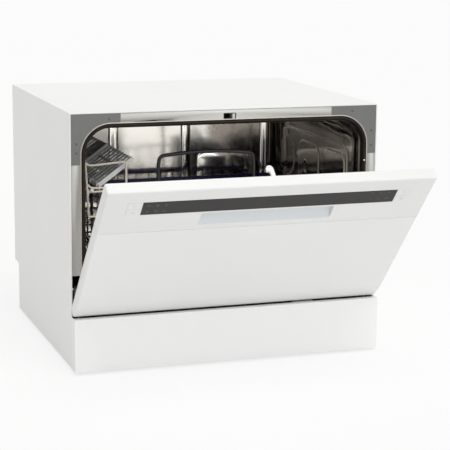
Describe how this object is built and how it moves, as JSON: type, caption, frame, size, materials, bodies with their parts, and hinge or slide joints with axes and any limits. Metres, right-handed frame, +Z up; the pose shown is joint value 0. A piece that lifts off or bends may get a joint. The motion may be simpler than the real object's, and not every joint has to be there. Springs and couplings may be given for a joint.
{
  "type": "countertop dishwasher",
  "caption": "Countertop dishwasher with a drop-down door on a low hinge, a rack on wheels, folding cup shelves and a spray arm.",
  "frame": {"origin": "on the floor, in the middle of the four feet", "axes": "+X along the width to the right seen from the front, +Y to the rear, +Z up"},
  "size_m": [0.55, 0.7089, 0.438],
  "materials": {
    "white_paint": "semi-gloss white enamel",
    "door_paint": "semi-gloss white enamel",
    "console_white": "smooth moulded white",
    "button_white": "smooth moulded white",
    "strip_dark": "dark glossy panel with plain printed icons",
    "steel": "bright stainless steel",
    "liner_steel": "bright stainless steel",
    "zinc": "zinc-plated steel",
    "corner_grey": "dark grey-green plastic",
    "gasket": "black rubber",
    "galvanised": "galvanised sheet",
    "tray_black": "black plastic",
    "dark_plastic": "dark grey plastic",
    "mid_plastic": "mid grey plastic",
    "light_plastic": "light grey plastic",
    "arm_grey": "grey plastic",
    "foot_rubber": "black rubber",
    "cap_blue": "blue plastic",
    "board": "green circuit board",
    "felt": "dark felt",
    "rack_coat": "dark violet-blue coating on steel wire",
    "handle_grey": "dark grey coating",
    "loop_beige": "beige-grey coating on steel wire",
    "shelf_grey": "grey plastic"
  },
  "bodies": {
    "cabinet": {"outer_cabinet": "white_paint", "tub": "steel", "tub_floor": "steel", "corner_plates": "corner_grey", "tub_gasket": "gasket", "rear_cover": "galvanised", "base_tray": "tray_black", "kick_panel": "white_paint", "hinge_brackets": "zinc", "door_springs": "zinc", "gap_bracket": "light_plastic", "latch_housing": "dark_plastic", "sump": "dark_plastic", "filter_plate": "steel", "spray_hub": "dark_plastic", "wash_pump": "dark_plastic", "heater": "steel", "drain_pump": "dark_plastic", "drain_outlet": "dark_plastic", "inlet_valve": "light_plastic", "water_hoses": "mid_plastic", "intake_chamber": "light_plastic", "softener_tank": "light_plastic", "cable_gland": "tray_black", "wiring_harness": "tray_black", "insulation_mats": "felt", "cabinet_screws": "zinc"},
    "door": {"door_panel": "door_paint", "control_console": "console_white", "display_strip": "strip_dark", "control_board": "board", "door_liner": "liner_steel", "door_seal": "gasket", "dispenser_body": "mid_plastic", "latch_hook": "console_white", "hinge_arms": "zinc"},
    "rack": {"rack_basket": "rack_coat", "rack_handle": "handle_grey", "rack_loops": "loop_beige", "wheel_carriers": "dark_plastic"},
    "front_wheels": {"front_wheels": "mid_plastic"},
    "rear_wheels": {"rear_wheels": "mid_plastic"},
    "cup_shelf_front": {"cup_shelf_front": "shelf_grey"},
    "cup_shelf_rear": {"cup_shelf_rear": "shelf_grey"},
    "cutlery_basket": {"cutlery_basket": "mid_plastic"},
    "latch_lever": {"latch_lever": "light_plastic"},
    "filter_cylinder": {"filter_cylinder": "mid_plastic"},
    "spray_arm": {"spray_arm": "arm_grey"},
    "salt_cap": {"salt_cap": "dark_plastic"},
    "flood_float": {"flood_float": "light_plastic"},
    "foot_front_left": {"foot_front_left": "foot_rubber"},
    "foot_front_right": {"foot_front_right": "foot_rubber"},
    "foot_rear_left": {"foot_rear_left": "foot_rubber"},
    "foot_rear_right": {"foot_rear_right": "foot_rubber"},
    "power_button": {"power_button": "button_white"},
    "program_button": {"program_button": "button_white"},
    "delay_button": {"delay_button": "button_white"},
    "start_button": {"start_button": "button_white"},
    "dispenser_lid": {"dispenser_lid": "light_plastic"},
    "rinse_cap": {"rinse_cap": "cap_blue"}
  },
  "joints": [
    {"name": "door_hinge", "type": "hinge", "parent": "cabinet", "child": "door", "pos_m": [0, -0.245, 0.1115], "axis": [1, 0, 0], "range_deg": [-42, 48], "deforming": ["door_springs"]},
    {"name": "rack_slide", "type": "slide", "parent": "cabinet", "child": "rack", "axis": [0, -1, 0], "range_m": [-0.0527, 0.0602]},
    {"name": "front_wheels_roll", "type": "hinge", "parent": "rack", "child": "front_wheels", "pos_m": [0, -0.157, 0.1453], "axis": [1, 0, 0], "range_deg": [-235, 268]},
    {"name": "rear_wheels_roll", "type": "hinge", "parent": "rack", "child": "rear_wheels", "pos_m": [0, 0.077, 0.1453], "axis": [1, 0, 0], "range_deg": [-235, 268]},
    {"name": "cup_shelf_front_fold", "type": "hinge", "parent": "rack", "child": "cup_shelf_front", "pos_m": [-0.217, -0.123, 0.31], "axis": [0, -1, 0], "range_deg": [-36, 40]},
    {"name": "cup_shelf_rear_fold", "type": "hinge", "parent": "rack", "child": "cup_shelf_rear", "pos_m": [-0.217, 0.043, 0.31], "axis": [0, -1, 0], "range_deg": [-36, 40]},
    {"name": "cutlery_basket_lift", "type": "slide", "parent": "rack", "child": "cutlery_basket", "axis": [0, 0, 1], "range_m": [0, 0.08]},
    {"name": "latch_lever_press", "type": "slide", "parent": "cabinet", "child": "latch_lever", "axis": [1, 0, 0], "range_m": [0, 0.0012], "stiffness_N_per_m": 300},
    {"name": "filter_cylinder_turn", "type": "hinge", "parent": "cabinet", "child": "filter_cylinder", "pos_m": [0.086, -0.018, 0.12], "axis": [0, 0, 1], "range_deg": [0, 90]},
    {"name": "spray_arm_spin", "type": "hinge", "parent": "cabinet", "child": "spray_arm", "pos_m": [0, -0.018, 0.15], "axis": [0, 0, 1], "continuous": true},
    {"name": "salt_cap_turn", "type": "hinge", "parent": "cabinet", "child": "salt_cap", "pos_m": [-0.14, 0.05, 0.12], "axis": [0, 0, 1], "continuous": true},
    {"name": "flood_float_rise", "type": "slide", "parent": "cabinet", "child": "flood_float", "axis": [0, 0, 1], "range_m": [0, 0.006]},
    {"name": "foot_front_left_turn", "type": "hinge", "parent": "cabinet", "child": "foot_front_left", "pos_m": [-0.235, -0.175, 0.01], "axis": [0, 0, 1], "continuous": true},
    {"name": "foot_front_right_turn", "type": "hinge", "parent": "cabinet", "child": "foot_front_right", "pos_m": [0.235, -0.175, 0.01], "axis": [0, 0, 1], "continuous": true},
    {"name": "foot_rear_left_turn", "type": "hinge", "parent": "cabinet", "child": "foot_rear_left", "pos_m": [-0.235, 0.175, 0.01], "axis": [0, 0, 1], "continuous": true},
    {"name": "foot_rear_right_turn", "type": "hinge", "parent": "cabinet", "child": "foot_rear_right", "pos_m": [0.235, 0.175, 0.01], "axis": [0, 0, 1], "continuous": true},
    {"name": "power_button_press", "type": "slide", "parent": "door", "child": "power_button", "axis": [0, 0.7431, 0.6691], "range_m": [0, 0.0012], "stiffness_N_per_m": 400},
    {"name": "program_button_press", "type": "slide", "parent": "door", "child": "program_button", "axis": [0, 0.7431, 0.6691], "range_m": [0, 0.0012], "stiffness_N_per_m": 400},
    {"name": "delay_button_press", "type": "slide", "parent": "door", "child": "delay_button", "axis": [0, 0.7431, 0.6691], "range_m": [0, 0.0012], "stiffness_N_per_m": 400},
    {"name": "start_button_press", "type": "slide", "parent": "door", "child": "start_button", "axis": [0, 0.7431, 0.6691], "range_m": [0, 0.0012], "stiffness_N_per_m": 400},
    {"name": "dispenser_lid_slide", "type": "slide", "parent": "door", "child": "dispenser_lid", "axis": [-1, 0, 0], "range_m": [0, 0.062]},
    {"name": "rinse_cap_turn", "type": "hinge", "parent": "door", "child": "rinse_cap", "pos_m": [0.05, -0.33768, 0.24133], "axis": [0, 0.7431, 0.6691], "range_deg": [0, 90]}
  ],
  "couplings": [
    {"joint": "rack_slide", "follows": "door_hinge", "m_per_rad": 0.0716},
    {"joint": "front_wheels_roll", "follows": "door_hinge", "ratio": 5.5077},
    {"joint": "rear_wheels_roll", "follows": "door_hinge", "ratio": 5.5077}
  ]
}
